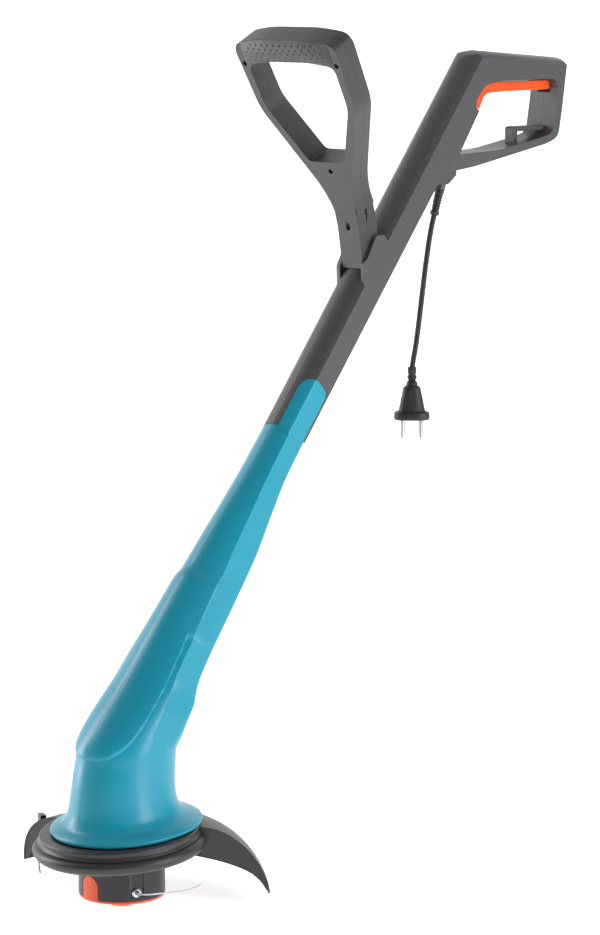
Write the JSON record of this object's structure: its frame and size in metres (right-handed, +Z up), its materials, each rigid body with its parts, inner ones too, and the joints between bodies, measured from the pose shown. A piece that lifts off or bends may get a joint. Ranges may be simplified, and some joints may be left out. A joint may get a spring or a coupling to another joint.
{
  "type": "string trimmer",
  "caption": "Corded grass trimmer with a slanted two-part shaft, motor head with swivelling line drum, curved rear guard, hoop handle and rear handle with trigger",
  "frame": {"origin": "centre of the rear handle's grip bar, where the hand closes round it", "axes": "+Z up, front (guard-free side of the head) towards -Y, rear handle towards +Y, user's left is +X"},
  "size_m": [0.2357, 0.7129, 0.8415],
  "materials": {
    "teal_shell": "satin moulded",
    "grey_shell": "fine grained",
    "dark_shell": "fine grained",
    "guard_shell": "satin moulded",
    "orange_shell": "satin moulded",
    "black_rubber": "matte",
    "inner_plastic": "moulded",
    "fan_plastic": "moulded",
    "capacitor_case": "glossy",
    "button_plastic": "glossy",
    "steel": "zinc plated",
    "lamination": "stacked sheets",
    "bearing_steel": "ground",
    "copper_wire": "enamelled wire",
    "copper_bar": "turned",
    "brass": "stamped",
    "graphite": "pressed carbon",
    "aluminium": "turned",
    "nylon_line": "extruded"
  },
  "bodies": {
    "body": {"housing_left": "teal_shell", "housing_right": "teal_shell", "housing_screws": "steel", "handle_left": "grey_shell", "handle_right": "grey_shell", "handle_screws": "steel", "hoop_front": "dark_shell", "hoop_rear": "dark_shell", "hoop_screws": "steel", "hoop_clamp_screw": "steel", "guard": "guard_shell", "guard_screws": "steel", "line_blade": "steel", "blade_screw": "steel", "lower_bracket": "inner_plastic", "lower_bearing": "bearing_steel", "upper_bracket": "inner_plastic", "upper_bearing": "bearing_steel", "bracket_screws": "steel", "stator_core": "lamination", "field_windings": "copper_wire", "brush_holders": "brass", "carbon_brushes": "graphite", "capacitor": "capacitor_case", "inner_leads": "black_rubber", "switch_body": "inner_plastic", "trigger_pin": "steel", "trigger_spring": "steel", "cord_clamp": "inner_plastic", "cord_clamp_screws": "steel", "bend_protector": "black_rubber", "power_cord": "black_rubber", "plug_body": "black_rubber", "plug_pins": "brass"},
    "trigger_body": {"trigger": "orange_shell"},
    "button_body": {"switch_button": "button_plastic"},
    "rotor": {"motor_shaft": "bearing_steel", "armature_core": "lamination", "armature_windings": "copper_wire", "commutator": "copper_bar", "cooling_fan": "fan_plastic", "line_drum": "dark_shell", "drum_nut": "steel", "eyelets": "aluminium", "line_tail": "nylon_line", "spool_spring": "steel"},
    "seat": {"spring_seat": "steel"},
    "reel": {"spool": "inner_plastic", "line_winding": "nylon_line", "tap_knob": "orange_shell"},
    "cap": {"spool_cap": "orange_shell"},
    "front_latch": {"latch_front": "orange_shell"},
    "rear_latch": {"latch_rear": "orange_shell"}
  },
  "joints": [
    {"name": "rotor_spin", "type": "hinge", "parent": "body", "child": "rotor", "pos_m": [0, -0.55, -0.744], "axis": [0, 0, 1], "continuous": true},
    {"name": "cap_release", "type": "slide", "parent": "rotor", "child": "cap", "axis": [0, 0, -1], "range_m": [0, 0.04]},
    {"name": "front_latch_press", "type": "slide", "parent": "cap", "child": "front_latch", "axis": [0, 1, 0], "range_m": [0, 0.0025], "stiffness_N_per_m": 400, "springref_m": -0.001},
    {"name": "rear_latch_press", "type": "slide", "parent": "cap", "child": "rear_latch", "axis": [0, -1, 0], "range_m": [0, 0.0025], "stiffness_N_per_m": 400, "springref_m": -0.001},
    {"name": "tap_feed", "type": "slide", "parent": "rotor", "child": "seat", "axis": [0, 0, 1], "range_m": [0, 0.005], "stiffness_N_per_m": 900, "springref_m": -0.006, "deforming": ["spool_spring"]},
    {"name": "spool_index", "type": "hinge", "parent": "seat", "child": "reel", "pos_m": [0, -0.55, -0.764], "axis": [0, 0, 1], "continuous": true},
    {"name": "trigger_press", "type": "hinge", "parent": "body", "child": "trigger_body", "pos_m": [0, -0.054, -0.012], "axis": [1, 0, 0], "range_deg": [0, 4.5], "stiffness_Nm_per_rad": 5.5, "springref_deg": -2.86, "deforming": ["trigger_spring"]},
    {"name": "switch_press", "type": "slide", "parent": "body", "child": "button_body", "axis": [0, 0, 1], "range_m": [0, 0.003]}
  ],
  "couplings": [
    {"joint": "switch_press", "follows": "trigger_press", "m_per_rad": 0.038}
  ]
}
